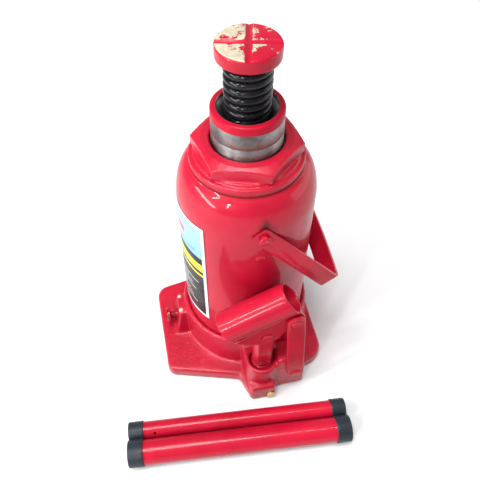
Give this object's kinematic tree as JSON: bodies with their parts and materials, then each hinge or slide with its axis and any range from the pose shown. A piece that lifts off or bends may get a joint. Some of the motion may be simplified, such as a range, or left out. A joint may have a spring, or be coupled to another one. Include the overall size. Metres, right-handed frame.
{
  "type": "hydraulic bottle jack",
  "caption": "Hydraulic bottle jack: cast foot, oil tank, lifting ram with a screw extension, side pump with a tilting handle socket, hinged carrying bail and loose handle tubes.",
  "frame": {"origin": "On the floor, under the axis of the lifting ram, in the underside of the foot.", "axes": "+Z is the lifting direction. +X runs along the pump linkage, from the plunger to the fulcrum link, and the release valve is on the -X side. -Y is the side that carries the pump."},
  "size_m": [0.2187, 0.2348, 0.3442],
  "materials": {
    "red_paint": "thick glossy red enamel over cast iron and steel, chipped at the working faces",
    "ground_steel": "ground and oiled steel, slightly stained",
    "machined_steel": "plain machined steel",
    "blackened_steel": "glossy black, oiled rolled thread",
    "gasket_fibre": "pressed fibre gasket",
    "seal_rubber": "moulded oil-resistant rubber",
    "guide_bronze": "plain bronze",
    "plug_brass": "hexagonal brass plug with traces of cream sealant",
    "black_plastic": "moulded dark slate end cap",
    "label_film": "printed film with blank blocks in place of any wording"
  },
  "bodies": {
    "base": {"base_casting": "red_paint", "pressure_cylinder": "machined_steel", "reservoir_tank": "red_paint", "tank_base_gasket": "gasket_fibre", "tank_top_gasket": "gasket_fibre", "top_nut": "red_paint", "ram_wiper_seal": "seal_rubber", "filler_plug": "red_paint", "rating_label": "label_film", "pump_cylinder": "machined_steel", "link_lower_pin": "red_paint", "release_valve_ball": "machined_steel", "check_valve_ball": "machined_steel", "check_valve_spring": "machined_steel", "check_valve_plug": "plug_brass", "bail_rivet_near": "red_paint", "bail_rivet_far": "red_paint"},
    "ram": {"ram": "ground_steel", "ram_piston": "machined_steel", "ram_piston_seal": "seal_rubber", "ram_guide_ring": "guide_bronze"},
    "screw_stop": {"screw_stop_ring": "machined_steel"},
    "screw": {"extension_screw": "blackened_steel", "saddle": "red_paint"},
    "bail": {"carry_handle": "red_paint"},
    "plunger": {"pump_plunger": "red_paint", "plunger_seal": "seal_rubber"},
    "link": {"link_front": "red_paint", "link_rear": "red_paint", "link_upper_pin": "red_paint"},
    "socket": {"handle_socket": "red_paint", "plunger_pin": "red_paint"},
    "release_valve": {"release_valve": "red_paint"},
    "handle_large": {"handle_tube_large": "red_paint", "large_cap_left": "black_plastic", "large_cap_right": "black_plastic"},
    "handle_small": {"handle_tube_small": "red_paint", "small_cap_left": "black_plastic", "small_cap_right": "black_plastic"}
  },
  "joints": [
    {"name": "ram_lift", "type": "slide", "parent": "base", "child": "ram", "axis": [0, 0, 1], "range_m": [-0.0235, 0.1565]},
    {"name": "screw_slide", "type": "slide", "parent": "ram", "child": "screw_stop", "axis": [0, 0, 1], "range_m": [-0.0405, 0.039]},
    {"name": "screw_turn", "type": "hinge", "parent": "screw_stop", "child": "screw", "pos_m": [0, 0, 0.3], "axis": [0, 0, 1], "range_deg": [-2240, 2155]},
    {"name": "bail_swing", "type": "hinge", "parent": "base", "child": "bail", "pos_m": [0.0015, 0, 0.208], "axis": [0, -1, 0], "range_deg": [0, 110]},
    {"name": "link_swing", "type": "hinge", "parent": "base", "child": "link", "pos_m": [0.031, -0.0816, 0.0333], "axis": [0, 1, 0], "range_deg": [0, 5.3]},
    {"name": "socket_swing", "type": "hinge", "parent": "link", "child": "socket", "pos_m": [0.0248, -0.0816, 0.1276], "axis": [0, 1, 0], "range_deg": [0, 38]},
    {"name": "plunger_slide", "type": "slide", "parent": "base", "child": "plunger", "axis": [0, 0, 1], "range_m": [0, 0.0227]},
    {"name": "release_valve_turn", "type": "hinge", "parent": "base", "child": "release_valve", "pos_m": [-0.08, 0, 0.025], "axis": [-1, 0, 0], "range_deg": [0, 540]},
    {"name": "handle_large_lift", "type": "slide", "parent": "base", "child": "handle_large", "axis": [0, 0, 1], "range_m": [0, 0.25]},
    {"name": "handle_small_lift", "type": "slide", "parent": "base", "child": "handle_small", "axis": [0, 0, 1], "range_m": [0, 0.25]}
  ],
  "couplings": [
    {"joint": "screw_slide", "follows": "screw_turn", "m_per_rad": 0.0010345},
    {"joint": "link_swing", "follows": "socket_swing", "ratio": 0.1375},
    {"joint": "plunger_slide", "follows": "socket_swing", "m_per_rad": 0.034}
  ]
}
